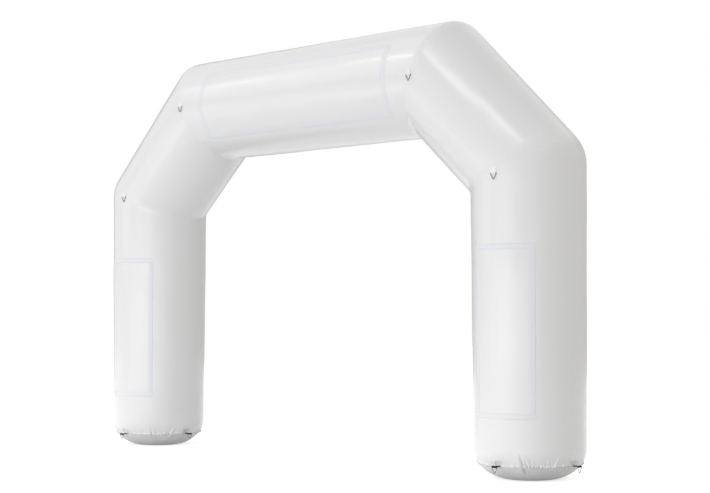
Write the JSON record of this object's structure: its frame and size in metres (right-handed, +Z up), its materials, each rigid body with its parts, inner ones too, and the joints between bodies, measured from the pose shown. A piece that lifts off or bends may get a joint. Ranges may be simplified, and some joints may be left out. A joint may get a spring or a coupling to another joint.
{
  "type": "inflatable advertising arch",
  "caption": "Free-standing inflatable event arch of mitred air tubes on two dished feet, with guy rings, loop-tape banner frames and air valves.",
  "frame": {"origin": "on the floor, midway between the two feet", "axes": "+X along the span towards the leg that is on the right of the picture, -Y out of the front face, +Z up"},
  "size_m": [5.8662, 1.0358, 4],
  "materials": {
    "loop_tape": "white loop tape, soft pile",
    "pvc_white": "glossy white PVC-coated fabric",
    "valve_grey": "moulded grey plastic",
    "valve_black": "moulded black plastic",
    "spring_steel": "bright spring wire",
    "ring_metal": "pale brass-plated wire",
    "webbing_white": "white woven webbing",
    "seam_tape": "white welded seam tape and flange",
    "webbing_black": "black woven webbing",
    "pvc_floor": "white PVC-coated fabric, gathered at the foot seam"
  },
  "bodies": {
    "envelope": {"crossbeam_back_loop_frame": "loop_tape", "crossbeam_front_loop_frame": "loop_tape", "crossbeam_skin": "pvc_white", "inflation_valve_body": "valve_grey", "inflation_valve_nut": "valve_grey", "inflation_valve_spring": "spring_steel", "left_beam_back_tab": "webbing_white", "left_beam_front_tab": "webbing_white", "left_beam_seam_tape": "seam_tape", "left_foot_back_tab": "webbing_black", "left_foot_cap": "pvc_floor", "left_foot_front_tab": "webbing_black", "left_foot_inner_tab": "webbing_black", "left_foot_outer_tab": "webbing_black", "left_foot_seam_fin": "seam_tape", "left_leg_back_loop_frame": "loop_tape", "left_leg_back_tab": "webbing_white", "left_leg_front_loop_frame": "loop_tape", "left_leg_front_tab": "webbing_white", "left_leg_seam_tape": "seam_tape", "left_leg_skin": "pvc_white", "left_shoulder_skin": "pvc_white", "relief_valve_body": "valve_grey", "relief_valve_cover": "valve_grey", "relief_valve_spring": "spring_steel", "right_beam_back_tab": "webbing_white", "right_beam_front_tab": "webbing_white", "right_beam_seam_tape": "seam_tape", "right_foot_back_tab": "webbing_black", "right_foot_cap": "pvc_floor", "right_foot_front_tab": "webbing_black", "right_foot_inner_tab": "webbing_black", "right_foot_outer_tab": "webbing_black", "right_foot_seam_fin": "seam_tape", "right_leg_back_loop_frame": "loop_tape", "right_leg_back_tab": "webbing_white", "right_leg_front_loop_frame": "loop_tape", "right_leg_front_tab": "webbing_white", "right_leg_seam_tape": "seam_tape", "right_leg_skin": "pvc_white", "right_shoulder_skin": "pvc_white"},
    "left_leg_front_ring": {"left_leg_front_ring": "ring_metal"},
    "left_leg_back_ring": {"left_leg_back_ring": "ring_metal"},
    "left_beam_front_ring": {"left_beam_front_ring": "ring_metal"},
    "left_beam_back_ring": {"left_beam_back_ring": "ring_metal"},
    "left_foot_front_ring": {"left_foot_front_ring": "ring_metal"},
    "left_foot_back_ring": {"left_foot_back_ring": "ring_metal"},
    "left_foot_outer_ring": {"left_foot_outer_ring": "ring_metal"},
    "left_foot_inner_ring": {"left_foot_inner_ring": "ring_metal"},
    "right_leg_front_ring": {"right_leg_front_ring": "ring_metal"},
    "right_leg_back_ring": {"right_leg_back_ring": "ring_metal"},
    "right_beam_front_ring": {"right_beam_front_ring": "ring_metal"},
    "right_beam_back_ring": {"right_beam_back_ring": "ring_metal"},
    "right_foot_front_ring": {"right_foot_front_ring": "ring_metal"},
    "right_foot_back_ring": {"right_foot_back_ring": "ring_metal"},
    "right_foot_outer_ring": {"right_foot_outer_ring": "ring_metal"},
    "right_foot_inner_ring": {"right_foot_inner_ring": "ring_metal"},
    "inflation_valve_plunger": {"inflation_valve_plunger": "valve_black"},
    "inflation_valve_cap": {"inflation_valve_cap": "valve_black"},
    "relief_valve_poppet": {"relief_valve_poppet": "valve_black"}
  },
  "joints": [
    {"name": "left_leg_front_ring_hinge", "type": "hinge", "parent": "envelope", "child": "left_leg_front_ring", "pos_m": [-2.429, -0.49865, 2.62], "axis": [-1, 0, 0], "range_deg": [-2, 150]},
    {"name": "left_leg_back_ring_hinge", "type": "hinge", "parent": "envelope", "child": "left_leg_back_ring", "pos_m": [-2.429, 0.49865, 2.62], "axis": [1, 0, 0], "range_deg": [-2, 150]},
    {"name": "left_beam_front_ring_hinge", "type": "hinge", "parent": "envelope", "child": "left_beam_front_ring", "pos_m": [-1.517, -0.51315, 3.487], "axis": [-1, 0, 0], "range_deg": [-2, 150]},
    {"name": "left_beam_back_ring_hinge", "type": "hinge", "parent": "envelope", "child": "left_beam_back_ring", "pos_m": [-1.517, 0.51315, 3.487], "axis": [1, 0, 0], "range_deg": [-2, 150]},
    {"name": "left_foot_front_ring_hinge", "type": "hinge", "parent": "envelope", "child": "left_foot_front_ring", "pos_m": [-2.429, -0.4993, 0.13], "axis": [-1, 0, 0], "range_deg": [-60, 170]},
    {"name": "left_foot_back_ring_hinge", "type": "hinge", "parent": "envelope", "child": "left_foot_back_ring", "pos_m": [-2.429, 0.4993, 0.13], "axis": [1, 0, 0], "range_deg": [-60, 170]},
    {"name": "left_foot_outer_ring_hinge", "type": "hinge", "parent": "envelope", "child": "left_foot_outer_ring", "pos_m": [-2.9283, 0, 0.13], "axis": [0, 1, 0], "range_deg": [-60, 170]},
    {"name": "left_foot_inner_ring_hinge", "type": "hinge", "parent": "envelope", "child": "left_foot_inner_ring", "pos_m": [-1.9297, 0, 0.13], "axis": [0, -1, 0], "range_deg": [-60, 170]},
    {"name": "right_leg_front_ring_hinge", "type": "hinge", "parent": "envelope", "child": "right_leg_front_ring", "pos_m": [2.429, -0.49865, 2.557], "axis": [-1, 0, 0], "range_deg": [-2, 150]},
    {"name": "right_leg_back_ring_hinge", "type": "hinge", "parent": "envelope", "child": "right_leg_back_ring", "pos_m": [2.429, 0.49865, 2.557], "axis": [1, 0, 0], "range_deg": [-2, 150]},
    {"name": "right_beam_front_ring_hinge", "type": "hinge", "parent": "envelope", "child": "right_beam_front_ring", "pos_m": [1.517, -0.51315, 3.479], "axis": [-1, 0, 0], "range_deg": [-2, 150]},
    {"name": "right_beam_back_ring_hinge", "type": "hinge", "parent": "envelope", "child": "right_beam_back_ring", "pos_m": [1.517, 0.51315, 3.479], "axis": [1, 0, 0], "range_deg": [-2, 150]},
    {"name": "right_foot_front_ring_hinge", "type": "hinge", "parent": "envelope", "child": "right_foot_front_ring", "pos_m": [2.429, -0.4993, 0.13], "axis": [-1, 0, 0], "range_deg": [-60, 170]},
    {"name": "right_foot_back_ring_hinge", "type": "hinge", "parent": "envelope", "child": "right_foot_back_ring", "pos_m": [2.429, 0.4993, 0.13], "axis": [1, 0, 0], "range_deg": [-60, 170]},
    {"name": "right_foot_outer_ring_hinge", "type": "hinge", "parent": "envelope", "child": "right_foot_outer_ring", "pos_m": [2.9283, 0, 0.13], "axis": [0, -1, 0], "range_deg": [-60, 170]},
    {"name": "right_foot_inner_ring_hinge", "type": "hinge", "parent": "envelope", "child": "right_foot_inner_ring", "pos_m": [1.9297, 0, 0.13], "axis": [0, 1, 0], "range_deg": [-60, 170]},
    {"name": "inflation_plunger_slide", "type": "slide", "parent": "envelope", "child": "inflation_valve_plunger", "axis": [0, -1, 0], "range_m": [0, 0.0045], "stiffness_N_per_m": 400, "springref_m": -0.004, "deforming": ["inflation_valve_spring"]},
    {"name": "inflation_cap_turn", "type": "hinge", "parent": "envelope", "child": "inflation_valve_cap", "pos_m": [2.429, 0.47889, 0.39], "axis": [0, 1, 0], "range_deg": [0, 90]},
    {"name": "relief_poppet_slide", "type": "slide", "parent": "envelope", "child": "relief_valve_poppet", "axis": [0, 1, 0], "range_m": [0, 0.005], "stiffness_N_per_m": 600, "springref_m": -0.006, "deforming": ["relief_valve_spring"]}
  ]
}
